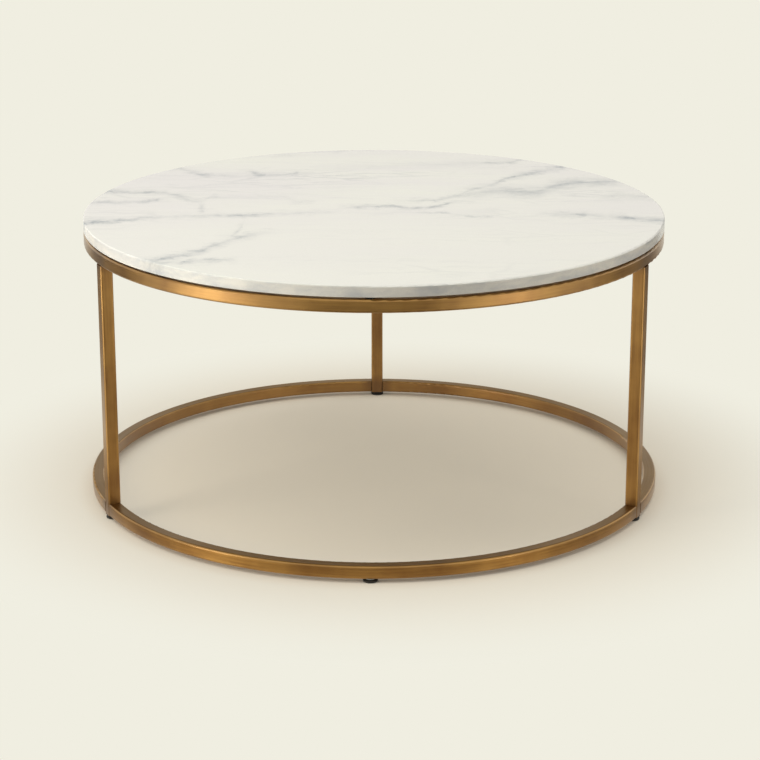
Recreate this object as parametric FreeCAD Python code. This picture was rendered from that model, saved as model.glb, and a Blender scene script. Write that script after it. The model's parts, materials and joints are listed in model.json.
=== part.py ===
import FreeCAD, Part
import os

# Round cocktail table: a stone disc on a brass-finished frame of square tube.
# Millimetres, +Z up, the floor is z = 0 and the table axis is the Z axis.
# The front of the table faces -Y, so the back leg stands at 90 degrees.

# overall sizes
top_diameter = 914.0
table_height = 448.0

# stone top
stone_thickness = 17.0
stone_top_ease = 2.0
stone_bottom_ease = 1.0

# square tube of the rings and the legs
tube_size = 20.0
tube_wall = 1.5
tube_corner = 3.0

# the three legs: one at the back, and two in front, this far below the side-to-side line
back_leg_angle = 90.0
front_leg_drop = 25.0

# vent hole from the upper ring into each leg
vent_diameter = 8.0

# soft pads that hold the stone off the upper ring
pad_thickness = 3.0
pad_diameter = 13.0

# tabs welded inside the upper ring
tab_count = 6
tab_first_angle = 30.0
tab_length = 34.0
tab_width = 28.0
tab_thickness = 3.0
tab_end_radius = 8.0
tab_slot_inset = 19.0
tab_slot_travel = 5.0

# screws that hold the stone down on the tabs, their washers and the inserts set in the stone
screw_diameter = 6.0
screw_hole_clearance = 0.6
screw_tip_clearance = 1.2
screw_head_diameter = 11.0
screw_head_height = 3.6
screw_head_bevel = 1.4
screw_drive_diameter = 3.6
screw_drive_depth = 2.0
washer_diameter = 16.0
washer_thickness = 1.2
insert_diameter = 10.0
insert_end = 1.0
stone_cover = 5.0

# levelling feet: a round glide on a threaded stud
glide_diameter = 22.0
glide_height = 5.0
glide_neck_diameter = 15.0
glide_rim_height = 3.0
glide_edge = 1.0
glide_floor_skin = 1.5
stud_diameter = 8.0
stud_chamfer = 1.0
stud_clearance = 0.1
stud_headroom = 0.5

# what the studs screw into: a plug in each leg, and a rivet nut in the front bend
flange_thickness = 1.0
plug_length = 15.0
rivet_body_diameter = 11.0
rivet_body_length = 12.0
rivet_flange_diameter = 17.0
rivet_bulge_diameter = 14.0
rivet_bulge_height = 2.0

# heights and radii that follow from the sizes above
ring_middle = (top_diameter - tube_size) / 2
ring_inner = top_diameter / 2 - tube_size
tube_bore = tube_size - 2 * tube_wall
bore_corner = tube_corner - tube_wall
stone_bottom = table_height - stone_thickness
upper_top = stone_bottom - pad_thickness
upper_bottom = upper_top - tube_size
lower_bottom = glide_height + flange_thickness
lower_top = lower_bottom + tube_size
tab_top = upper_top - tube_corner
tab_bottom = tab_top - tab_thickness
screw_circle = ring_inner - tab_slot_inset
washer_bottom = tab_bottom - washer_thickness
insert_top = table_height - stone_cover
thread_top = insert_top - insert_end

leg_angles = {
    "back": back_leg_angle,
    "front_left": 180.0 + front_leg_drop,
    "front_right": 360.0 - front_leg_drop,
}
bend_angles = {
    "front": (leg_angles["front_left"] + leg_angles["front_right"]) / 2,
    "left": (leg_angles["back"] + leg_angles["front_left"]) / 2,
    "right": (leg_angles["back"] + leg_angles["front_right"] - 360.0) / 2,
}
foot_angles = dict(leg_angles, front_middle=bend_angles["front"])
tab_angles = [tab_first_angle + 360.0 / tab_count * k for k in range(tab_count)]

# how near an edge has to be to the place where it is looked for
near = 0.01

axis_up = FreeCAD.Vector(0, 0, 1)
os.makedirs("parts", exist_ok=True)


def save(name, shape):
    shape.exportStep("parts/" + name + ".step")


def turned(shape, angle):
    # pieces are drawn on the +X side and turned about the table axis to their place
    copy = shape.copy()
    copy.rotate(FreeCAD.Vector(0, 0, 0), axis_up, angle)
    return copy


def at_angles(shape, angles):
    return Part.makeCompound([turned(shape, angle) for angle in angles])


def disc(diameter, bottom, top, x=0.0):
    return Part.makeCylinder(diameter / 2, top - bottom, FreeCAD.Vector(x, 0, bottom), axis_up)


def spun(outline, x):
    # a closed outline of (diameter, height) corners, spun about an upright axis at x
    corners = [FreeCAD.Vector(x + diameter / 2, 0, height) for diameter, height in outline]
    face = Part.Face(Part.makePolygon(corners + corners[:1]))
    return face.revolve(FreeCAD.Vector(x, 0, 0), axis_up, 360)


def edges_at(shape, height):
    level = [e for e in shape.Edges if e.BoundBox.ZLength < near]
    return [e for e in level if abs(e.BoundBox.ZMin - height) < near]


def upright_edges(shape):
    return [e for e in shape.Edges if e.BoundBox.XLength < near and e.BoundBox.YLength < near]


def rounded_ring(size, corner, bottom):
    # a ring of solid square section on the tube's circle, with its four edges rounded
    top = bottom + size
    ring = disc(2 * ring_middle + size, bottom, top).cut(disc(2 * ring_middle - size, bottom, top))
    return ring.makeFillet(corner, edges_at(ring, bottom) + edges_at(ring, top))


def rounded_bar(size, corner, bottom, top):
    # an upright bar of solid square section on the tube's circle, with its four edges rounded
    corner_place = FreeCAD.Vector(ring_middle - size / 2, -size / 2, bottom)
    bar = Part.makeBox(size, size, top - bottom, corner_place)
    return bar.makeFillet(corner, upright_edges(bar))


def ring_tube(bottom):
    # square tube rolled into a closed circle, hollow all the way round
    outside = rounded_ring(tube_size, tube_corner, bottom)
    return outside.cut(rounded_ring(tube_bore, bore_corner, bottom + tube_wall))


# stone top with eased edges and a blind hole for each insert
stone = disc(top_diameter, stone_bottom, table_height)
stone = stone.makeFillet(stone_top_ease, edges_at(stone, table_height))
stone = stone.makeFillet(stone_bottom_ease, edges_at(stone, stone_bottom))
insert_body = disc(insert_diameter, stone_bottom, insert_top, screw_circle)
save("marble_top", stone.cut(at_angles(insert_body, tab_angles)))

# upper ring, with a vent hole down into each leg
vent = disc(vent_diameter, upper_bottom, upper_bottom + tube_wall, ring_middle)
save("top_ring", ring_tube(upper_bottom).cut(at_angles(vent, leg_angles.values())))

# legs: square tube from the underside of the upper ring down to the flange of the foot plug
leg = rounded_bar(tube_size, tube_corner, lower_bottom, upper_bottom)
leg = leg.cut(rounded_bar(tube_bore, bore_corner, lower_bottom, upper_bottom))
for place, angle in leg_angles.items():
    save("leg_" + place, turned(leg, angle))

# lower ring: the same tube in three bends, each butted against the sides of two legs
leg_space = Part.makeBox(2 * tube_size, tube_size, tube_size,
                         FreeCAD.Vector(ring_middle - tube_size, -tube_size / 2, lower_bottom))
rivet_hole = disc(rivet_body_diameter, lower_bottom, lower_bottom + tube_wall, ring_middle)
bends = ring_tube(lower_bottom).cut(at_angles(leg_space, leg_angles.values()))
bends = bends.cut(turned(rivet_hole, foot_angles["front_middle"]))
for place, angle in bend_angles.items():
    spot = turned(Part.Vertex(ring_middle, 0, lower_bottom), angle).Point
    bend = min(bends.Solids, key=lambda solid: solid.CenterOfMass.distanceToPoint(spot))
    save("lower_bend_" + place, bend)

# pads on the flat of the upper ring, under the stone
save("rest_pads", at_angles(disc(pad_diameter, upper_top, stone_bottom, ring_middle), tab_angles))

# tabs: flat plates with a rounded inner end and a slot, trimmed to the inside of the upper ring
tab_tip = ring_inner - tab_length
plate = Part.makeBox(tab_length + tube_wall, tab_width, tab_thickness,
                     FreeCAD.Vector(tab_tip, -tab_width / 2, tab_bottom))
tip_edges = [e for e in upright_edges(plate) if e.BoundBox.XMax < tab_tip + near]
plate = plate.makeFillet(tab_end_radius, tip_edges).common(disc(2 * ring_inner, tab_bottom, tab_top))
slot_width = screw_diameter + screw_hole_clearance
slot = Part.makeBox(tab_slot_travel, slot_width, tab_thickness,
                    FreeCAD.Vector(screw_circle - tab_slot_travel / 2, -slot_width / 2, tab_bottom))
for end in (-1, 1):
    slot = slot.fuse(disc(slot_width, tab_bottom, tab_top, screw_circle + end * tab_slot_travel / 2))
plate = plate.cut(slot)
for number, angle in enumerate(tab_angles, start=1):
    save("top_tab_%d" % number, turned(plate, angle))

# washers under the tabs
washer = disc(washer_diameter, washer_bottom, tab_bottom, screw_circle)
washer = washer.cut(disc(slot_width, washer_bottom, tab_bottom, screw_circle))
save("tab_washers", at_angles(washer, tab_angles))

# button-head screws that reach up through tab and washer into the inserts
head_bottom = washer_bottom - screw_head_height
screw_tip = thread_top - screw_tip_clearance
screw = spun([
    (0, head_bottom),
    (screw_head_diameter - 2 * screw_head_bevel, head_bottom),
    (screw_head_diameter, head_bottom + screw_head_bevel),
    (screw_head_diameter, washer_bottom),
    (screw_diameter, washer_bottom),
    (screw_diameter, screw_tip),
    (0, screw_tip),
], screw_circle)
drive = disc(screw_drive_diameter, head_bottom, head_bottom + screw_drive_depth, screw_circle)
save("tab_screws", at_angles(screw.cut(drive), tab_angles))

# inserts: the same bodies that the stone is bored for, with a blind thread
insert = insert_body.cut(disc(screw_diameter, stone_bottom, thread_top, screw_circle))
save("stone_inserts", at_angles(insert, tab_angles))

# plugs pressed into the leg ends, with a flange that covers the cut tube
stud_hole = disc(stud_diameter + 2 * stud_clearance, glide_height, lower_top + plug_length, ring_middle)
plug = rounded_bar(tube_size, tube_corner, glide_height, lower_bottom)
plug = plug.fuse(rounded_bar(tube_bore, bore_corner, lower_bottom, lower_bottom + plug_length))
save("leg_plugs", at_angles(plug.cut(stud_hole).removeSplitter(), leg_angles.values()))

# rivet nut in the middle of the front bend, for the foot that has no leg above it
bulge_bottom = lower_bottom + tube_wall
rivet = disc(rivet_body_diameter, glide_height, glide_height + rivet_body_length, ring_middle)
rivet = rivet.fuse(disc(rivet_flange_diameter, glide_height, lower_bottom, ring_middle))
rivet = rivet.fuse(disc(rivet_bulge_diameter, bulge_bottom, bulge_bottom + rivet_bulge_height, ring_middle))
save("front_rivet_nut", turned(rivet.cut(stud_hole).removeSplitter(), foot_angles["front_middle"]))

# levelling feet, screwed fully in: the glide stands on the floor and the stud is moulded into it
glide = spun([
    (0, 0),
    (glide_diameter - 2 * glide_edge, 0),
    (glide_diameter, glide_edge),
    (glide_diameter, glide_rim_height),
    (glide_neck_diameter, glide_height),
    (0, glide_height),
], ring_middle)
glide = glide.cut(disc(stud_diameter, glide_floor_skin, glide_height, ring_middle))
stud_top = lower_top - tube_wall - stud_headroom
stud = spun([
    (0, glide_floor_skin),
    (stud_diameter, glide_floor_skin),
    (stud_diameter, stud_top - stud_chamfer),
    (stud_diameter - 2 * stud_chamfer, stud_top),
    (0, stud_top),
], ring_middle)
for place, angle in foot_angles.items():
    save("glide_" + place, turned(glide, angle))
    save("stud_" + place, turned(stud, angle))
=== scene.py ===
import json
import math

import bpy
import bmesh
from mathutils import Matrix, Vector


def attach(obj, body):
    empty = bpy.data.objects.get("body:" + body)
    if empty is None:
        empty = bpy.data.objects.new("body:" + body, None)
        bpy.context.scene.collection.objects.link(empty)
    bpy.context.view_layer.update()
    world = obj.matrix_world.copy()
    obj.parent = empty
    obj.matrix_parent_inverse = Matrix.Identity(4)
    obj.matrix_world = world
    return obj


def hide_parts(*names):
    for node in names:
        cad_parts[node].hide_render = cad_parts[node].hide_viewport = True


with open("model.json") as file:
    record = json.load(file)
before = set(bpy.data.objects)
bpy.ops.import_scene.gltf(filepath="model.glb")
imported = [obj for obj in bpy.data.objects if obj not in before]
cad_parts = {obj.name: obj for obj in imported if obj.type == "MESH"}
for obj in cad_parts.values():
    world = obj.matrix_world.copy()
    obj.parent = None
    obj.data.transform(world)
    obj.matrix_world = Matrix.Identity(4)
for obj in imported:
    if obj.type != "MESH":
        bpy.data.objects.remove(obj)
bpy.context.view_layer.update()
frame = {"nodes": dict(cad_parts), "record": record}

cadNodes = frame["nodes"]
mm = 0.001
noiseLow, noiseHigh = 0.3, 0.7          # most values of a noise lie between these
colorA, colorB, mixedColor = 6, 7, 2    # a Mix node's two colour inputs and its colour output
print("frame loaded:", len(cadNodes), "nodes")


def linear(hexColor):
    # sRGB hex to the linear values that the shaders work in
    channels = [int(hexColor[i:i + 2], 16) / 255 for i in (0, 2, 4)]
    values = [c / 12.92 if c <= 0.04045 else ((c + 0.055) / 1.055) ** 2.4 for c in channels]
    return values + [1.0]


def addNode(tree, kind, inputs=None, **settings):
    # one node with its settings; an input is a plain value, a node (its first output) or a socket
    node = tree.nodes.new("ShaderNode" + kind)
    for name, value in settings.items():
        setattr(node, name, value)
    for name, value in (inputs or {}).items():
        if isinstance(value, bpy.types.Node):
            value = value.outputs[0]
        if isinstance(value, bpy.types.NodeSocket):
            tree.links.new(value, node.inputs[name])
        else:
            node.inputs[name].default_value = value
    return node


def newTree(block):
    block.use_nodes = True
    block.node_tree.nodes.clear()
    return block.node_tree


def newObject(name, data):
    thing = bpy.data.objects.new(name, data)
    bpy.context.collection.objects.link(thing)
    return thing


# polished white marble: cool grey feathered veins run left to right through a warm white that
# clouds over a little towards the back, under a polish that mirrors the room softly
marbleLook = {
    "white": "f6f8f1",
    "cloud": "f0eff0",
    "vein": "8994a2",
    "edge": "b2bdca",               # the cut edge is greyer, in blots
    "drawnOut": (0.3, 1.0, 1.0),    # most patterns are longer along the stone than across it
    "wander": 26 * mm,              # how far the veins stray from their drawn lines
    "wanderSize": 50 * mm,
    "haloWidths": 5,                # a vein has faded out at this many half widths
    "haloFall": 2.2,                # the power that leaves a narrow core in a wide soft halo
    "endFade": 25 * mm,
    "feather": (-7 * mm, 14 * mm),  # how far a vein's edge is let out and taken in
    "featherSize": 12 * mm,
    "featherDraw": (0.6, 0.7, 1.0),
    "breakSize": 22 * mm,
    "breakFaint": 0.45,             # what is left of a vein where it breaks up
    "hairSpacing": 60 * mm,         # hair veins between the main ones
    "hairWidth": 0.055,             # as a share of their spacing
    "hairStrength": 0.34,
    "hairPatch": 150 * mm,
    "streakSize": 15 * mm,
    "streakDraw": (0.16, 1.0, 1.0),
    "streakReach": 0.45,            # the power that widens a vein to where its streaks lie
    "streakStrength": 0.55,
    "cleanBand": (-200 * mm, 100 * mm),     # the front of the slab is the cleaner one
    "cleanFront": 0.35,
    "cloudSize": 210 * mm,
    "grainSize": 2.5 * mm,          # real calcite grain is about 0.5 mm, coarser here to show
    "grainShade": 0.97,
    "blotSize": 17 * mm,
    "blotDraw": (0.35, 0.35, 1.2),
    "blotStrength": 0.5,
    "polish": 0.2,
    "veinDull": 0.08,               # the veins take a little less polish
    "sawnBack": 0.6,                # the underside is left as sawn
    "pitSize": 6 * mm,
    "pitDepth": 0.3 * mm,
    "pitStrength": 0.06,
    "ior": 1.5,
}
# each main vein: half width in mm, then its line as x, y and strength, in mm from the table axis
mainVeins = [
    (7, [(-453, -92, 1.0), (-405, -80, 0.95), (-359, -57, 0.8), (-339, -51, 0.4),
         (-299, -47, 0.3), (-240, -38, 0.65), (-199, -37, 0.8), (-169, -31, 0.75),
         (-151, -23, 0.4), (-110, -20, 0.3), (-69, -12, 0.15)]),
    (8, [(-441, 128, 0.9), (-413, 124, 0.85), (-390, 123, 0.6), (-372, 124, 0.85),
         (-336, 114, 0.4), (-309, 82, 0.7), (-284, 63, 0.5), (-275, 67, 0.5), (-262, 90, 0.5),
         (-245, 88, 0.2), (-161, 94, 0.18), (-119, 53, 0.2)]),
    (7, [(-453, 52, 0.5), (-421, 49, 0.55), (-388, 50, 0.4), (-359, 63, 0.7), (-345, 73, 0.3)]),
    (9, [(-326, -327, 0.8), (-288, -298, 0.85), (-260, -269, 0.85), (-250, -256, 0.85),
         (-241, -242, 0.6), (-229, -223, 0.7), (-206, -187, 0.55), (-196, -174, 0.55),
         (-183, -167, 0.4), (-160, -148, 0.15)]),
    (14, [(-214, -172, 0.1), (-207, -135, 0.4), (-200, -96, 0.05)]),
    (7, [(-307, -339, 0.5), (-285, -326, 0.4), (-274, -327, 0.7), (-262, -317, 0.7),
         (-250, -319, 0.3), (-238, -316, 0.5), (-214, -315, 0.4)]),
    (8, [(-335, 305, 0.4), (-315, 279, 0.4), (-291, 255, 0.6), (-280, 251, 0.5),
         (-260, 249, 0.3), (-241, 244, 0.25)]),
    (8, [(-217, 276, 0.2), (-194, 253, 0.7), (-174, 252, 0.5), (-150, 258, 0.55),
         (-138, 268, 0.8), (-129, 270, 0.4)]),
    (16, [(-282, 52, 0.05), (-273, 4, 0.45), (-267, -24, 0.05)]),
    (6, [(-41, 22, 0.3), (-27, 23, 0.6), (-4, 23, 0.45), (14, 26, 0.6), (33, 24, 0.55),
         (46, 19, 0.5), (73, 15, 0.6), (98, 23, 0.75), (107, 30, 0.75), (122, 51, 0.4),
         (145, 66, 0.2)]),
    (6, [(51, 65, 0.4), (70, 68, 0.7), (100, 70, 0.85), (111, 78, 0.5), (119, 91, 0.4),
         (137, 104, 0.6), (150, 106, 0.7), (164, 110, 0.3)]),
    (5, [(89, -18, 0.4), (114, -18, 0.45), (131, -29, 0.2), (150, -41, 0.45), (167, -46, 0.4)]),
    (9, [(137, 103, 0.3), (152, 140, 0.5), (165, 157, 0.6), (179, 164, 0.4), (204, 195, 0.65),
         (209, 215, 0.5), (220, 231, 0.85), (245, 257, 0.85), (274, 280, 0.9), (302, 305, 0.95),
         (328, 317, 0.5)]),
    (15, [(152, 112, 0.3), (182, 129, 0.5), (198, 137, 0.55), (224, 135, 0.8), (242, 131, 0.9),
          (260, 135, 0.9), (273, 143, 0.85), (285, 160, 0.75), (299, 178, 0.85),
          (332, 194, 0.75), (371, 206, 0.75), (406, 212, 0.5)]),
    (9, [(272, -24, 0.25), (299, -29, 0.65), (317, -29, 0.7), (335, -27, 0.5), (354, -34, 0.35),
         (378, -43, 0.4), (391, -46, 0.9), (404, -54, 0.9), (415, -59, 0.6), (451, -64, 0.8)]),
    (12, [(377, 97, 0.3), (396, 102, 0.45), (410, 101, 0.4), (448, 91, 0.3)]),
    (8, [(175, 347, 0.2), (206, 354, 0.6), (232, 355, 0.6), (244, 371, 0.5), (259, 385, 0.3)]),
    (14, [(-90, 300, 0.1), (60, 330, 0.14), (150, 345, 0.2), (230, 372, 0.12)]),
]
curveMiddle = 0.5       # the curves take 0 to 1, so the stone's middle is put here

marble = bpy.data.materials.new("polishedWhiteMarble")
tree = newTree(marble)
place = addNode(tree, "TexCoord").outputs["Object"]
wander = addNode(tree, "TexNoise", {"Vector": place, "Scale": 1 / marbleLook["wanderSize"],
                                    "Detail": 5.0, "Roughness": 0.6})
offset = addNode(tree, "VectorMath", {0: wander.outputs["Color"], 1: (0.5, 0.5, 0.5)},
                 operation="SUBTRACT")
offset = addNode(tree, "VectorMath", {0: offset, "Scale": marbleLook["wander"]}, operation="SCALE")
strayed = addNode(tree, "VectorMath", {0: place, 1: offset}, operation="ADD")
strayedXyz = addNode(tree, "SeparateXYZ", {0: strayed})
across = addNode(tree, "Math", {0: strayedXyz.outputs["X"], 1: curveMiddle}, operation="ADD")
along = addNode(tree, "Math", {0: strayedXyz.outputs["Y"], 1: curveMiddle}, operation="ADD")
drawnOut = addNode(tree, "VectorMath", {0: strayed, 1: marbleLook["drawnOut"]},
                   operation="MULTIPLY")

# feathered edges: the distance to a vein is shaken by a noise
feather = addNode(tree, "VectorMath", {0: strayed, 1: marbleLook["featherDraw"]},
                  operation="MULTIPLY")
feather = addNode(tree, "TexNoise", {"Vector": feather, "Scale": 1 / marbleLook["featherSize"],
                                     "Detail": 4.0, "Roughness": 0.65})
feather = addNode(tree, "MapRange", {"Value": feather, "From Min": noiseLow, "From Max": noiseHigh,
                                     "To Min": marbleLook["feather"][0],
                                     "To Max": marbleLook["feather"][1]})

veins = None
for halfWidth, path in mainVeins:
    line = [(curveMiddle + x * mm, curveMiddle + y * mm) for x, y, strength in path]
    strengths = [(curveMiddle + x * mm, strength) for x, y, strength in path]
    strengths = ([(strengths[0][0] - marbleLook["endFade"], 0)] + strengths
                 + [(strengths[-1][0] + marbleLook["endFade"], 0)])
    curveNodes = []
    for points in (line, strengths):
        curveNode = addNode(tree, "FloatCurve", {"Value": across})
        curveNode.mapping.extend = "HORIZONTAL"
        curve = curveNode.mapping.curves[0]
        curve.points[0].location = points[0]
        curve.points[1].location = points[-1]
        for point in points[1:-1]:
            curve.points.new(*point)
        for point in curve.points:
            point.handle_type = "AUTO_CLAMPED"
        curveNode.mapping.update()
        curveNodes.append(curveNode)
    gap = addNode(tree, "Math", {0: along, 1: curveNodes[0]}, operation="SUBTRACT")
    gap = addNode(tree, "Math", {0: gap}, operation="ABSOLUTE")
    gap = addNode(tree, "Math", {0: gap, 1: feather}, operation="ADD")
    vein = addNode(tree, "MapRange", {"Value": gap, "To Min": 1.0, "To Max": 0.0,
                                      "From Max": marbleLook["haloWidths"] * halfWidth * mm})
    vein = addNode(tree, "Math", {0: vein, 1: marbleLook["haloFall"]}, operation="POWER")
    vein = addNode(tree, "Math", {0: vein, 1: curveNodes[1]}, operation="MULTIPLY")
    veins = addNode(tree, "Math", {0: veins, 1: vein}, operation="MAXIMUM") if veins else vein

# the veins break up along their length
breaks = addNode(tree, "TexNoise", {"Vector": drawnOut, "Scale": 1 / marbleLook["breakSize"],
                                    "Detail": 3.0})
breaks = addNode(tree, "MapRange", {"Value": breaks, "From Min": noiseLow, "From Max": 0.62,
                                    "To Min": marbleLook["breakFaint"], "To Max": 1.0})
veins = addNode(tree, "Math", {0: veins, 1: breaks}, operation="MULTIPLY")
cleaner = addNode(tree, "MapRange", {"Value": along,
                                     "From Min": curveMiddle + marbleLook["cleanBand"][0],
                                     "From Max": curveMiddle + marbleLook["cleanBand"][1],
                                     "To Min": marbleLook["cleanFront"], "To Max": 1.0})

# hair veins: the borders between drawn-out cells, as where the stone once cracked and healed
hair = addNode(tree, "TexVoronoi", {"Vector": drawnOut, "Scale": 1 / marbleLook["hairSpacing"]},
               feature="DISTANCE_TO_EDGE")
hair = addNode(tree, "MapRange", {"Value": hair.outputs["Distance"], "To Min": 1.0, "To Max": 0.0,
                                  "From Max": marbleLook["hairWidth"]})
patches = addNode(tree, "TexNoise", {"Vector": drawnOut, "Scale": 1 / marbleLook["hairPatch"],
                                     "Detail": 2.0})
patches = addNode(tree, "MapRange", {"Value": patches, "From Min": 0.48, "From Max": 0.68,
                                     "To Max": marbleLook["hairStrength"]})
patches = addNode(tree, "Math", {0: patches, 1: cleaner}, operation="MULTIPLY")
hair = addNode(tree, "Math", {0: hair, 1: patches}, operation="MULTIPLY")

# streaks: short faint dashes, most of them beside the veins
streaks = addNode(tree, "VectorMath", {0: strayed, 1: marbleLook["streakDraw"]},
                  operation="MULTIPLY")
streaks = addNode(tree, "TexNoise", {"Vector": streaks, "Scale": 1 / marbleLook["streakSize"],
                                     "Detail": 4.0, "Roughness": 0.65})
streaks = addNode(tree, "MapRange", {"Value": streaks, "From Min": 0.48, "From Max": 0.66})
beside = addNode(tree, "Math", {0: veins, 1: marbleLook["streakReach"]}, operation="POWER")
beside = addNode(tree, "Math", {0: beside, 1: marbleLook["streakStrength"]}, operation="MULTIPLY")
beside = addNode(tree, "Math", {0: beside, 1: patches}, operation="MAXIMUM")
streaks = addNode(tree, "Math", {0: streaks, 1: beside}, operation="MULTIPLY")
veins = addNode(tree, "Math", {0: veins, 1: hair}, operation="MAXIMUM")
veins = addNode(tree, "Math", {0: veins, 1: streaks}, operation="MAXIMUM")

cloud = addNode(tree, "TexNoise", {"Vector": drawnOut, "Scale": 1 / marbleLook["cloudSize"],
                                   "Detail": 6.0, "Roughness": 0.6})
cloud = addNode(tree, "MapRange", {"Value": cloud, "From Min": 0.36, "From Max": 0.6})
cloud = addNode(tree, "Math", {0: cloud, 1: cleaner}, operation="MULTIPLY")
stone = addNode(tree, "Mix", {"Factor": cloud, colorA: linear(marbleLook["white"]),
                              colorB: linear(marbleLook["cloud"])}, data_type="RGBA")
stone = addNode(tree, "Mix", {"Factor": veins, colorA: stone.outputs[mixedColor],
                              colorB: linear(marbleLook["vein"])}, data_type="RGBA")

# blots on the cut edge, where the surface is steep
normal = addNode(tree, "NewGeometry").outputs["Normal"]
leanUp = addNode(tree, "SeparateXYZ", {0: normal}).outputs["Z"]
steep = addNode(tree, "Math", {0: leanUp}, operation="ABSOLUTE")
steep = addNode(tree, "MapRange", {"Value": steep, "From Min": 0.3, "From Max": 0.8,
                                   "To Min": 1.0, "To Max": 0.0})
blots = addNode(tree, "VectorMath", {0: strayed, 1: marbleLook["blotDraw"]}, operation="MULTIPLY")
blots = addNode(tree, "TexNoise", {"Vector": blots, "Scale": 1 / marbleLook["blotSize"],
                                   "Detail": 4.0})
blots = addNode(tree, "MapRange", {"Value": blots, "From Min": 0.36, "From Max": 0.68,
                                   "To Max": marbleLook["blotStrength"]})
blots = addNode(tree, "Math", {0: blots, 1: steep}, operation="MULTIPLY")
stone = addNode(tree, "Mix", {"Factor": blots, colorA: stone.outputs[mixedColor],
                              colorB: linear(marbleLook["edge"])}, data_type="RGBA")
grain = addNode(tree, "TexNoise", {"Vector": place, "Scale": 1 / marbleLook["grainSize"],
                                   "Detail": 1.0})
grain = addNode(tree, "MapRange", {"Value": grain, "From Min": noiseLow, "From Max": noiseHigh,
                                   "To Min": marbleLook["grainShade"], "To Max": 1.0})
stone = addNode(tree, "VectorMath", {0: stone.outputs[mixedColor], "Scale": grain},
                operation="SCALE")

gloss = addNode(tree, "MapRange", {"Value": leanUp, "From Min": -0.9, "From Max": -0.3,
                                   "To Min": marbleLook["sawnBack"],
                                   "To Max": marbleLook["polish"]})
gloss = addNode(tree, "Math", {0: veins, 1: marbleLook["veinDull"], 2: gloss},
                operation="MULTIPLY_ADD")
pits = addNode(tree, "TexNoise", {"Vector": place, "Scale": 1 / marbleLook["pitSize"],
                                  "Detail": 4.0})
pits = addNode(tree, "Bump", {"Height": pits, "Strength": marbleLook["pitStrength"],
                              "Distance": marbleLook["pitDepth"]})
shader = addNode(tree, "BsdfPrincipled", {"Base Color": stone, "Roughness": gloss,
                                          "IOR": marbleLook["ior"], "Normal": pits})
addNode(tree, "OutputMaterial", {"Surface": shader})
print("marble:", len(mainVeins), "main veins")

# antique brass finish on steel tube: brushed along the tube, toned brown, then lacquered, so the
# eye sees brown gold with long faint streaks, rubbed brighter on the edges, darker by the joints,
# with painted shade on inward and upper faces
brassLook = {
    "toned": "8d622a",
    "rubbed": "b28643",
    "inside": "63411b",             # painted shade: faces turned to the table axis are made darker, standing in for the shadowed floor inside the ring that they mirror
    "insideShare": 0.35,
    "edge": "cfa25e",
    "edgeShare": 0.55,
    "edgeLean": 0.7,                # there the surface leans halfway between two faces
    "edgeSpread": 0.28,
    "joint": "5a3717",              # heat and tone left dark beside the welds
    "jointTurn": (4.0, 1.2),        # degrees from a leg where the dark begins and is full
    "jointFoot": (24 * mm, 40 * mm),        # heights on a leg where it ends above the lower ring
    "jointHead": (396 * mm, 408 * mm),      # and begins below the upper one
    "upperFaceShade": "6a4f27",            # painted shade: the lower ring's upper face is made browner and darker and hardly lacquered, standing in for the dark table underside it mirrors
    "upperFaceShadeShare": 0.8,
    "upperFaceShadeLacquer": 0.03,
    "upperFaceShadeBelow": 220 * mm,
    "streakWidth": 2.5 * mm,        # real brush lines are about 0.2 mm, coarser here to show
    "streakLength": 90 * mm,
    "streakWeight": 0.6,
    "patchSize": 70 * mm,
    "roughness": (0.34, 0.48),
    "grooveDepth": 0.05 * mm,
    "grooveStrength": 0.25,
    "lacquer": 0.9,
    "lacquerRoughness": 0.3,
    "lacquerIor": 1.5,
    "brushedShine": 0.6,            # on a ring a highlight is drawn out across the brush lines
    "brushedTurn": 0.25,
}
tubeCircle = 447 * mm       # radius of the tube's middle line in both rings
legAngles = {"back": 90, "front_left": 205, "front_right": 335}     # degrees round the axis


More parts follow.
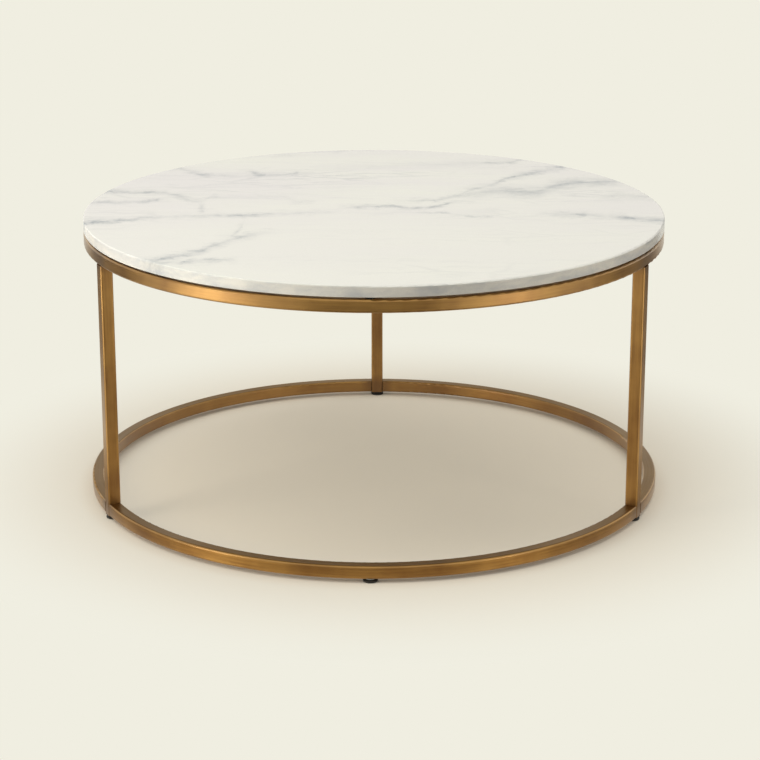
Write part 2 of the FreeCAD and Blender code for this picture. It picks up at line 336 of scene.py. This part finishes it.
def brass(name, run):
    # run is how the brush went: round the table axis, up the leg, or flat across a plate
    material = bpy.data.materials.new(name)
    tree = newTree(material)
    place = addNode(tree, "TexCoord").outputs["Object"]
    height = addNode(tree, "SeparateXYZ", {0: place}).outputs["Z"]
    level = addNode(tree, "VectorMath", {0: place, 1: (1, 1, 0)}, operation="MULTIPLY")
    outward = addNode(tree, "VectorMath", {0: level}, operation="NORMALIZE")
    normal = addNode(tree, "NewGeometry").outputs["Normal"]
    lengthwise = 1 / brassLook["streakLength"]
    crosswise = 1 / brassLook["streakWidth"]
    if run == "round":
        # the noise sees the direction from the axis, so no seam shows round the ring
        reach = addNode(tree, "VectorMath", {0: level}, operation="LENGTH").outputs["Value"]
        brushShift = addNode(tree, "Math", {0: reach, 1: crosswise}, operation="MULTIPLY")
        lift = addNode(tree, "Math", {0: height, 1: crosswise}, operation="MULTIPLY")
        lift = addNode(tree, "CombineXYZ", {"Z": lift})
        ringSpot = addNode(tree, "VectorMath", {0: outward, "Scale": tubeCircle * lengthwise},
                           operation="SCALE")
        brushVector = addNode(tree, "VectorMath", {0: ringSpot, 1: lift}, operation="ADD")
    else:
        brushShift = 0.0
        brushScales = {"up": (crosswise, crosswise, lengthwise),
                       "flat": (crosswise, lengthwise, crosswise)}
        brushVector = addNode(tree, "VectorMath", {0: place, 1: brushScales[run]},
                              operation="MULTIPLY")
    streaks = addNode(tree, "TexNoise", {"Vector": brushVector, "W": brushShift, "Scale": 1.0,
                                         "Detail": 3.0, "Roughness": 0.65}, noise_dimensions="4D")
    patches = addNode(tree, "TexNoise", {"Vector": place, "Scale": 1 / brassLook["patchSize"],
                                         "Detail": 3.0})
    weight = brassLook["streakWeight"]
    tone = addNode(tree, "Math", {0: streaks, 1: weight, 2: -weight / 2}, operation="MULTIPLY_ADD")
    tone = addNode(tree, "Math", {0: patches, 1: tone}, operation="ADD")
    tone = addNode(tree, "MapRange", {"Value": tone, "From Min": noiseLow, "From Max": noiseHigh})
    color = addNode(tree, "Mix", {"Factor": tone, colorA: linear(brassLook["toned"]),
                                  colorB: linear(brassLook["rubbed"])}, data_type="RGBA")

    leanOut = addNode(tree, "VectorMath", {0: normal, 1: outward}, operation="DOT_PRODUCT")
    leanOut = leanOut.outputs["Value"]
    # painted shade: faces turned to the table axis are darkened, as if in the shade of the table
    inside = addNode(tree, "MapRange", {"Value": leanOut, "From Min": -0.9, "From Max": -0.3,
                                        "To Min": brassLook["insideShare"], "To Max": 0.0})
    color = addNode(tree, "Mix", {"Factor": inside, colorA: color.outputs[mixedColor],
                                  colorB: linear(brassLook["inside"])}, data_type="RGBA")
    edge = addNode(tree, "Math", {0: leanOut}, operation="ABSOLUTE")
    edge = addNode(tree, "Math", {0: edge, 1: brassLook["edgeLean"]}, operation="SUBTRACT")
    edge = addNode(tree, "Math", {0: edge}, operation="ABSOLUTE")
    edge = addNode(tree, "MapRange", {"Value": edge, "From Max": brassLook["edgeSpread"],
                                      "To Min": brassLook["edgeShare"], "To Max": 0.0})
    edge = addNode(tree, "Math", {0: edge, 1: patches}, operation="MULTIPLY")
    color = addNode(tree, "Mix", {"Factor": edge, colorA: color.outputs[mixedColor],
                                  colorB: linear(brassLook["edge"])}, data_type="RGBA")

    if run == "up":
        footFrom, footTo = brassLook["jointFoot"]
        headFrom, headTo = brassLook["jointHead"]
        nears = [addNode(tree, "MapRange", {"Value": height, "From Min": footFrom,
                                            "From Max": footTo, "To Min": 1.0, "To Max": 0.0}),
                 addNode(tree, "MapRange", {"Value": height, "From Min": headFrom,
                                            "From Max": headTo})]
    else:
        begins, full = [math.cos(math.radians(angle)) for angle in brassLook["jointTurn"]]
        nears = []
        for angle in legAngles.values():
            leg = (math.cos(math.radians(angle)), math.sin(math.radians(angle)), 0)
            turn = addNode(tree, "VectorMath", {0: outward, 1: leg}, operation="DOT_PRODUCT")
            nears.append(addNode(tree, "MapRange", {"Value": turn.outputs["Value"],
                                                    "From Min": begins, "From Max": full}))
    joint = nears[0]
    for near in nears[1:]:
        joint = addNode(tree, "Math", {0: joint, 1: near}, operation="MAXIMUM")
    joint = addNode(tree, "Math", {0: joint, 1: patches}, operation="MULTIPLY")
    color = addNode(tree, "Mix", {"Factor": joint, colorA: color.outputs[mixedColor],
                                  colorB: linear(brassLook["joint"])}, data_type="RGBA")

    lacquer = brassLook["lacquer"]
    if run == "round":
        # painted shade: upward faces low on the table are darkened and lose most of their lacquer
        leanUp = addNode(tree, "SeparateXYZ", {0: normal}).outputs["Z"]
        upperFaceShade = addNode(tree, "MapRange", {"Value": leanUp, "From Min": 0.8, "From Max": 0.98,
                                             "To Max": brassLook["upperFaceShadeShare"]})
        lowDown = addNode(tree, "Math", {0: height, 1: brassLook["upperFaceShadeBelow"]},
                          operation="LESS_THAN")
        upperFaceShade = addNode(tree, "Math", {0: upperFaceShade, 1: lowDown}, operation="MULTIPLY")
        color = addNode(tree, "Mix", {"Factor": upperFaceShade, colorA: color.outputs[mixedColor],
                                      colorB: linear(brassLook["upperFaceShade"])}, data_type="RGBA")
        lacquer = addNode(tree, "MapRange", {"Value": upperFaceShade,
                                             "From Max": brassLook["upperFaceShadeShare"],
                                             "To Min": brassLook["lacquer"],
                                             "To Max": brassLook["upperFaceShadeLacquer"]})
    rough = addNode(tree, "MapRange", {"Value": streaks, "From Min": noiseLow,
                                       "From Max": noiseHigh,
                                       "To Min": brassLook["roughness"][0],
                                       "To Max": brassLook["roughness"][1]})
    grooves = addNode(tree, "Bump", {"Height": streaks, "Strength": brassLook["grooveStrength"],
                                     "Distance": brassLook["grooveDepth"]})
    shader = addNode(tree, "BsdfPrincipled", {
        "Base Color": color.outputs[mixedColor], "Metallic": 1.0, "Roughness": rough,
        "Normal": grooves, "Coat Weight": lacquer,
        "Coat Roughness": brassLook["lacquerRoughness"], "Coat IOR": brassLook["lacquerIor"]})
    if run == "round":
        tangent = addNode(tree, "Tangent", direction_type="RADIAL", axis="Z")
        tree.links.new(tangent.outputs[0], shader.inputs["Tangent"])
        shader.inputs["Anisotropic"].default_value = brassLook["brushedShine"]
        shader.inputs["Anisotropic Rotation"].default_value = brassLook["brushedTurn"]
    addNode(tree, "OutputMaterial", {"Surface": shader})
    return material


brassRolled = brass("antiqueBrassRolledTube", "round")
brassLeg = brass("antiqueBrassStraightTube", "up")
brassPlate = brass("antiqueBrassPlate", "flat")
print("antique brass: 3 brush runs")

# small hardware, each with its own pair of colours, grain size, roughness and depth of bump
hardware = {
    # moulded rubber: dull and faintly pebbled
    "pad_rubber": {"name": "mouldedBlackRubber", "colors": ("171717", "2b2a28"), "metal": 0.0,
                   "grain": 1.5 * mm, "roughness": (0.75, 0.95), "bump": 0.12 * mm},
    # zinc plating: bluish and mottled
    "zinc_steel": {"name": "zincPlatedSteel", "colors": ("8f9499", "c3c6c6"), "metal": 1.0,
                   "grain": 1.2 * mm, "roughness": (0.25, 0.45), "bump": 0.02 * mm},
    # turned brass: yellow, with fine tool marks
    "insert_brass": {"name": "turnedBrass", "colors": ("a8834a", "d8b878"), "metal": 1.0,
                     "grain": 1.0 * mm, "roughness": (0.25, 0.4), "bump": 0.02 * mm},
    # moulded nylon: satin, scuffed paler in spots
    "black_nylon": {"name": "mouldedBlackNylon", "colors": ("0c0b0a", "221f1c"), "metal": 0.0,
                    "grain": 1.2 * mm, "roughness": (0.4, 0.65), "bump": 0.06 * mm},
}
scuffGrains = 6         # a scuff is this many grains across
bumpStrength = 0.5
hardwareMaterials = {}
for slotName, look in hardware.items():
    material = bpy.data.materials.new(look["name"])
    tree = newTree(material)
    place = addNode(tree, "TexCoord").outputs["Object"]
    grain = addNode(tree, "TexNoise", {"Vector": place, "Scale": 1 / look["grain"], "Detail": 3.0})
    scuffs = addNode(tree, "TexNoise", {"Vector": place, "Detail": 2.0,
                                        "Scale": 1 / (scuffGrains * look["grain"])})
    share = addNode(tree, "Math", {0: grain, 1: scuffs}, operation="MULTIPLY")
    share = addNode(tree, "MapRange", {"Value": share, "From Min": 0.15, "From Max": 0.4})
    color = addNode(tree, "Mix", {"Factor": share, colorA: linear(look["colors"][0]),
                                  colorB: linear(look["colors"][1])}, data_type="RGBA")
    rough = addNode(tree, "MapRange", {"Value": scuffs, "From Min": noiseLow, "From Max": noiseHigh,
                                       "To Min": look["roughness"][0],
                                       "To Max": look["roughness"][1]})
    texture = addNode(tree, "Bump", {"Height": grain, "Strength": bumpStrength,
                                     "Distance": look["bump"]})
    shader = addNode(tree, "BsdfPrincipled", {"Base Color": color.outputs[mixedColor],
                                              "Metallic": look["metal"], "Roughness": rough,
                                              "Normal": texture})
    addNode(tree, "OutputMaterial", {"Surface": shader})
    hardwareMaterials[slotName] = material
print("hardware materials:", len(hardwareMaterials))

slotOfNode = {part["node"]: part["material_slot"] for part in frame["record"]["subparts"]}
for nodeName, node in cadNodes.items():
    slotName = slotOfNode[nodeName]
    if slotName == "marble":
        finish = marble
    elif slotName != "antique_brass":
        finish = hardwareMaterials[slotName]
    elif nodeName.startswith("leg"):
        finish = brassLeg
    elif "tab" in nodeName:
        finish = brassPlate
    else:
        finish = brassRolled
    for materialSlot in node.material_slots:
        materialSlot.link = "OBJECT"
        materialSlot.material = finish
print("finishes on", len(cadNodes), "nodes")

sharpAngle = 38     # degrees between two faces from which their edge shows sharp


def skin(name, tubes, finish):
    # each tube is a list of closed loops with the same count of points, joined and capped
    mesh = bpy.data.meshes.new(name)
    shape = bmesh.new()
    for loops in tubes:
        rings = [[shape.verts.new(point) for point in loop] for loop in loops]
        for first, second in zip(rings, rings[1:]):
            for i in range(len(first)):
                j = (i + 1) % len(first)
                shape.faces.new((first[i], first[j], second[j], second[i]))
        shape.faces.new(list(reversed(rings[0])))
        shape.faces.new(rings[-1])
    bmesh.ops.recalc_face_normals(shape, faces=shape.faces)
    shape.to_mesh(mesh)
    shape.free()
    for face in mesh.polygons:
        face.use_smooth = True
    mesh.set_sharp_from_angle(angle=math.radians(sharpAngle))
    mesh.materials.append(finish)
    return newObject(name, mesh)


def levelLoop(height, radii):
    # a closed loop at one height, with the radius at each of its equal steps round the axis
    turns = [2 * math.pi * i / len(radii) for i in range(len(radii))]
    return [Vector((r * math.cos(turn), r * math.sin(turn), height))
            for r, turn in zip(radii, turns)]


def threadedLoop(height, radius, depth, pitch, count):
    # the radius falls and rises once per pitch, and that wave climbs with the turn
    phases = [(height / pitch - i / count) % 1 for i in range(count)]
    return levelLoop(height, [radius - depth * (1 - abs(2 * phase - 1)) for phase in phases])


def hexLoop(height, flat, count):
    # points on a hexagon, at the same turns as a round loop's
    sixth = math.pi / 3
    turns = [2 * math.pi * i / count for i in range(count)]
    offFlat = [(turn + sixth / 2) % sixth - sixth / 2 for turn in turns]
    return levelLoop(height, [flat / 2 / math.cos(turn) for turn in offFlat])


# levelling studs with a real thread, M8 by 1.25, in place of the plain CAD cylinders
stud = {
    "radius": 4.0 * mm,
    "pitch": 1.25 * mm,
    "depth": 0.6 * mm,
    "bottom": 1.5 * mm,
    "top": 24.0 * mm,
    "chamfer": 1.0 * mm,
    "plain": 3.0 * mm,      # inside the glide: bare in its lower half, then the thread deepens
    "around": 24,
    "stepsPerPitch": 6,
}
footAngles = dict(legAngles, front_middle=270)
studLength = stud["top"] - stud["bottom"]
studSteps = round(studLength / (stud["pitch"] / stud["stepsPerPitch"]))
studLoops = []
for k in range(studSteps + 1):
    height = stud["bottom"] + studLength * k / studSteps
    begun = (height - stud["bottom"] - stud["plain"] / 2) / (stud["plain"] / 2)
    tip = max(0, height - (stud["top"] - stud["chamfer"]))
    depth = stud["depth"] * (1 - tip / stud["chamfer"]) * min(1, max(0, begun))
    studLoops.append(threadedLoop(height, stud["radius"] - tip, depth, stud["pitch"],
                                  stud["around"]))
for place, angle in footAngles.items():
    spot = Matrix.Rotation(math.radians(angle), 4, "Z") @ Vector((tubeCircle, 0, 0))
    loops = [[point + spot for point in loop] for loop in studLoops]
    piece = skin("threaded_stud_" + place, [loops], hardwareMaterials["zinc_steel"])
    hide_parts("stud_" + place)
    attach(piece, "foot_" + place)
print("threaded studs:", len(footAngles))

# button-head screws with a domed head, a hex socket and a thread, in place of the plain CAD screws
screw = {
    "circle": 418 * mm,
    "headBottom": 417.2 * mm,
    "headTop": 420.8 * mm,
    "tip": 440.8 * mm,
    "headRadius": 5.5 * mm,
    "crownRadius": 3.4 * mm,    # the flat of the head, round the socket
    "crownWidth": 0.55 * mm,
    "domeHeight": 2.8 * mm,
    "domeSteps": 6,
    "socketFlat": 4.0 * mm,     # across flats
    "socketDepth": 2.0 * mm,
    "socketBevel": 0.25 * mm,
    "radius": 3.0 * mm,
    "pitch": 1.0 * mm,
    "depth": 0.45 * mm,
    "around": 24,
    "stepsPerPitch": 6,
    "stepsIn": 9,               # over which the thread deepens below the head
    "stepsOut": 6,              # and fades at the tip
}
tabAngles = range(30, 360, 60)
count = screw["around"]
headBottom, headTop = screw["headBottom"], screw["headTop"]
domeWidth = screw["headRadius"] - screw["crownRadius"]
screwLoops = [
    hexLoop(headBottom + screw["socketDepth"], screw["socketFlat"], count),
    hexLoop(headBottom + screw["socketBevel"], screw["socketFlat"], count),
    levelLoop(headBottom, [screw["crownRadius"] - screw["crownWidth"]] * count),
    levelLoop(headBottom, [screw["crownRadius"]] * count),
]
for k in range(1, screw["domeSteps"] + 1):
    lean = math.pi / 2 * k / screw["domeSteps"]
    screwLoops.append(levelLoop(headBottom + screw["domeHeight"] * (1 - math.cos(lean)),
                                [screw["crownRadius"] + domeWidth * math.sin(lean)] * count))
screwLoops.append(levelLoop(headTop, [screw["headRadius"]] * count))
screwLoops.append(levelLoop(headTop, [screw["radius"]] * count))
threadSteps = round((screw["tip"] - headTop) / (screw["pitch"] / screw["stepsPerPitch"]))
for k in range(1, threadSteps + 1):
    height = headTop + (screw["tip"] - headTop) * k / threadSteps
    fade = min(1, k / screw["stepsIn"], (threadSteps - k) / screw["stepsOut"])
    screwLoops.append(threadedLoop(height, screw["radius"], screw["depth"] * fade, screw["pitch"],
                                   count))
screwTubes = []
for angle in tabAngles:
    turn = Matrix.Rotation(math.radians(angle), 4, "Z")
    spot = Vector((screw["circle"], 0, 0))
    screwTubes.append([[turn @ (point + spot) for point in loop] for loop in screwLoops])
piece = skin("button_head_screws", screwTubes, hardwareMaterials["zinc_steel"])
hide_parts("tab_screws")
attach(piece, "table")
print("button-head screws:", len(tabAngles))

# weld beads under the tabs, in the corner between plate and ring
bead = {
    "wall": 437 * mm,
    "plateBottom": 422 * mm,
    "halfLength": 11 * mm,
    "leg": 3.2 * mm,
    "sink": 0.4 * mm,           # how far it is melted into plate and ring
    "ripple": 2.4 * mm,
    "rippleDepth": 0.12,        # as a share of the leg
    "hollow": 0.22,             # how much the face draws in beside its middle, also a share
    "bluntEnd": 0.02,
    "endPower": 4,
    "steps": 56,
    "around": 10,
}
beadTubes = []
for angle in tabAngles:
    loops = []
    for k in range(bead["steps"] + 1):
        run = (2 * k / bead["steps"] - 1) * bead["halfLength"]
        taper = 1 - (run / bead["halfLength"]) ** bead["endPower"]
        wave = abs(math.sin(math.pi * run / bead["ripple"]))
        leg = bead["leg"] * math.sqrt(max(bead["bluntEnd"], taper))
        leg *= 1 - bead["rippleDepth"] * (1 - wave)
        loop = [Vector((bead["wall"] + bead["sink"], 0, bead["plateBottom"] + bead["sink"]))]
        for i in range(bead["around"]):
            swing = math.pi / 2 * i / (bead["around"] - 1)
            bulge = leg * (1 - bead["hollow"] * (1 - abs(math.cos(2 * swing))))
            inX = bead["sink"] * math.sin(swing) - bulge * math.cos(swing)
            inZ = bead["sink"] * math.cos(swing) - bulge * math.sin(swing)
            loop.append(Vector((bead["wall"] + inX, 0, bead["plateBottom"] + inZ)))
        turn = Matrix.Rotation(math.radians(angle) + run / bead["wall"], 4, "Z")
        loops.append([turn @ point for point in loop])
    beadTubes.append(loops)
piece = skin("tab_weld_beads", beadTubes, brassPlate)
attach(piece, "table")
print("weld beads:", len(beadTubes))

# plain pale studio floor that runs out into an even cream, in metres
studio = {
    "floorHalf": 40.0,
    "floorDrop": 0.2 * mm,
    "cream": "f0eee1",
    "floor": "e8ddc8",
    "mottleSize": 0.25,
    "mottleShade": 0.985,
    "plainShare": 0.28,             # how much of the even cream is in the floor under the table
    "plainMiddle": (0.03, 0.03, 0),
    "plainFrom": 0.34,              # how far from that middle it begins to take over
    "plainTo": 0.78,
    "contact": 30 * mm,     # nearer than this to the table the floor keeps its own dark shadow
}
half = studio["floorHalf"]
floorMesh = bpy.data.meshes.new("studio_floor")
floorMesh.from_pydata([(-half, -half, 0), (half, -half, 0), (half, half, 0), (-half, half, 0)],
                      [], [(0, 1, 2, 3)])
floor = newObject("studio_floor", floorMesh)
floor.location.z = -studio["floorDrop"]


def seenDirectly(tree):
    # 1 for what the camera sees, also in the metal's shine, and 0 for what only gives light
    rays = addNode(tree, "LightPath").outputs
    seen = addNode(tree, "Math", {0: rays["Is Camera Ray"], 1: rays["Is Glossy Ray"]},
                   operation="MAXIMUM")
    return addNode(tree, "Math", {0: seen, 1: rays["Is Transmission Ray"]}, operation="MAXIMUM")


# painted studio floor: matt, with a faint roller mottle
paint = bpy.data.materials.new("mattFloorPaint")
tree = newTree(paint)
place = addNode(tree, "TexCoord").outputs["Object"]
mottle = addNode(tree, "TexNoise", {"Vector": place, "Scale": 1 / studio["mottleSize"],
                                    "Detail": 3.0})
mottle = addNode(tree, "MapRange", {"Value": mottle, "To Min": studio["mottleShade"],
                                    "To Max": 1.0})
tint = addNode(tree, "VectorMath", {0: linear(studio["floor"])[:3], "Scale": mottle},
               operation="SCALE")
matt = addNode(tree, "BsdfDiffuse", {"Color": tint})
away = addNode(tree, "VectorMath", {0: place, 1: studio["plainMiddle"]}, operation="DISTANCE")
share = addNode(tree, "MapRange", {"Value": away.outputs["Value"], "From Min": studio["plainFrom"],
                                   "From Max": studio["plainTo"],
                                   "To Min": studio["plainShare"]},
                interpolation_type="SMOOTHSTEP")
share = addNode(tree, "Math", {0: share, 1: seenDirectly(tree)}, operation="MULTIPLY")
clearance = addNode(tree, "AmbientOcclusion", {"Distance": studio["contact"]}).outputs["AO"]
share = addNode(tree, "Math", {0: share, 1: clearance}, operation="MULTIPLY")
even = addNode(tree, "Emission", {"Color": linear(studio["cream"]), "Strength": 1.0})
surface = addNode(tree, "MixShader", {0: share, 1: matt, 2: even})
# from below the floor is clear, so the underside of the table can be looked at
clear = addNode(tree, "BsdfTransparent")
below = addNode(tree, "NewGeometry").outputs["Backfacing"]
surface = addNode(tree, "MixShader", {0: below, 1: surface, 2: clear})
addNode(tree, "OutputMaterial", {"Surface": surface})
floorMesh.materials.append(paint)

# felt cards in front of the table and beside it, out of sight, so that the metal and the stone's
# edge are not lit flat: each lies on the floor by its four corners, and where it has a fold it
# is turned up along the far side to that height, all in metres
cardLift = 1 * mm
feltCards = {
    "card_front": {"color": "35322e", "fold": 1.8,
                   "corners": [(-0.26, -0.70), (0.26, -0.70), (1.15, -2.40), (-1.15, -2.40)]},
    "card_left": {"color": "35322e", "fold": 1.2,
                  "corners": [(-1.45, 1.40), (-1.45, -0.06), (-2.60, 0.10), (-2.60, 1.60)]},
    "card_right": {"color": "35322e", "fold": 1.2,
                   "corners": [(1.35, -0.20), (1.35, 1.40), (2.60, 1.60), (2.60, -0.10)]},
    "card_left_near": {"color": "b4ab9a", "fold": 0,
                       "corners": [(-0.90, 1.30), (-0.90, -0.15), (-1.45, -0.06), (-1.45, 1.40)]},
    "card_right_near": {"color": "b4ab9a", "fold": 0,
                        "corners": [(0.80, -0.25), (0.80, 1.30), (1.35, 1.40), (1.35, -0.20)]},
}
# a mat round the table, so that the lower ring does not mirror the bright floor
mat = {"color": "bcb09a", "inner": 0.475, "outer": 0.64, "sides": 48}


def addCard(name, color, corners, faces, dimsLight, inShine):
    # felt: dull and even, only ever seen as a dark patch in the metal
    felt = bpy.data.materials.new(name + "Felt")
    tree = newTree(felt)
    dull = addNode(tree, "BsdfDiffuse", {"Color": linear(color)})
    addNode(tree, "OutputMaterial", {"Surface": dull})
    cardMesh = bpy.data.meshes.new(name)
    cardMesh.from_pydata(corners, [], faces)
    cardMesh.materials.append(felt)
    card = newObject(name, cardMesh)
    card.visible_camera = False
    card.visible_shadow = False
    card.visible_diffuse = dimsLight
    card.visible_glossy = inShine


for name, card in feltCards.items():
    flat = [(x, y, cardLift) for x, y in card["corners"]]
    addCard(name, card["color"], flat, [(0, 1, 2, 3)], True, True)
    if card["fold"]:
        # the fold does not show in the shine, so the polished top stays clear from every side
        folded = flat[2:] + [(x, y, card["fold"]) for x, y in reversed(card["corners"][2:])]
        addCard(name + "_fold", card["color"], folded, [(0, 1, 2, 3)], True, False)
matCorners = []
for i in range(mat["sides"]):
    turn = 2 * math.pi * i / mat["sides"]
    for radius in (mat["inner"], mat["outer"]):
        matCorners.append((radius * math.cos(turn), radius * math.sin(turn), cardLift))
count = len(matCorners)
matFaces = [(i, i + 1, (i + 3) % count, (i + 2) % count) for i in range(0, count, 2)]
addCard("card_mat", mat["color"], matCorners, matFaces, False, True)

ambient = {"color": "fff8f0", "strength": 0.40}
world = bpy.data.worlds.new("studioAir")
bpy.context.scene.world = world
tree = newTree(world)
air = addNode(tree, "Background", {"Color": linear(ambient["color"]),
                                   "Strength": ambient["strength"]})
backdrop = addNode(tree, "Background", {"Color": linear(studio["cream"]), "Strength": 1.0})
surface = addNode(tree, "MixShader", {0: seenDirectly(tree), 1: air, 2: backdrop})
addNode(tree, "OutputWorld", {"Surface": surface})

# softboxes: place, target, width and height in metres, power in watts; the strips are there for
# the metal's shine alone and stand lower than the stone, so that no lamp burns out the polished
# top from any side
lamps = {
    "keyLeft": {"at": (-1.8, -0.85, 2.9), "to": (0, 0, 0.3), "size": (1.6, 1.6),
                "watts": 29.5, "color": "fffdfa", "shineOnly": False},
    "top": {"at": (1.2, 0.4, 3.1), "to": (0, 0, 0.4), "size": (2.4, 2.0),
            "watts": 28.5, "color": "fffdfa", "shineOnly": False},
    "fillLeft": {"at": (-2.1, -1.2, 0.75), "to": (0, 0, 0.3), "size": (0.9, 1.2),
                 "watts": 26, "color": "fffaf2", "shineOnly": False},
    "fillRight": {"at": (1.9, -1.6, 0.75), "to": (0, 0, 0.3), "size": (0.4, 1.2),
                  "watts": 6, "color": "fffaf2", "shineOnly": False},
    "stripLeft": {"at": (-2.05, -1.3, 0.23), "to": (0, 0, 0.23), "size": (1.0, 0.4),
                  "watts": 12, "color": "fffaf2", "shineOnly": True},
    "stripRight": {"at": (1.9, -1.6, 0.23), "to": (0, 0, 0.23), "size": (0.45, 0.4),
                   "watts": 5, "color": "fffaf2", "shineOnly": True},
}
for name, lamp in lamps.items():
    light = bpy.data.lights.new(name, "AREA")
    light.shape = "RECTANGLE"
    light.size, light.size_y = lamp["size"]
    light.energy = lamp["watts"]
    light.color = linear(lamp["color"])[:3]
    holder = newObject(name, light)
    holder.location = lamp["at"]
    aim = Vector(lamp["to"]) - Vector(lamp["at"])
    holder.rotation_euler = aim.to_track_quat("-Z", "Y").to_euler()
    holder.visible_camera = False
    holder.visible_glossy = lamp["shineOnly"]
    holder.visible_diffuse = not lamp["shineOnly"]
print("studio: floor, world and", len(lamps), "softboxes")

# the photograph's view, from a camera fit to both rings, the legs and the stone
view = {
    "at": (0.0451, -3.6907, 1.3283),
    "pitchDown": 0.30496,   # radians, as the yaw
    "yaw": 0.00962,
    "lens": 113.4,
    "sensor": 36.0,
    "sightEnd": 200.0,      # metres, past the far edge of the floor
}
cameraData = bpy.data.cameras.new("photoCamera")
cameraData.lens = view["lens"]
cameraData.sensor_width = view["sensor"]
cameraData.clip_end = view["sightEnd"]
camera = newObject("photoCamera", cameraData)
camera.location = view["at"]
camera.rotation_euler = (math.pi / 2 - view["pitchDown"], 0, view["yaw"])
bpy.context.scene.camera = camera
bpy.context.scene.view_settings.view_transform = "Standard"
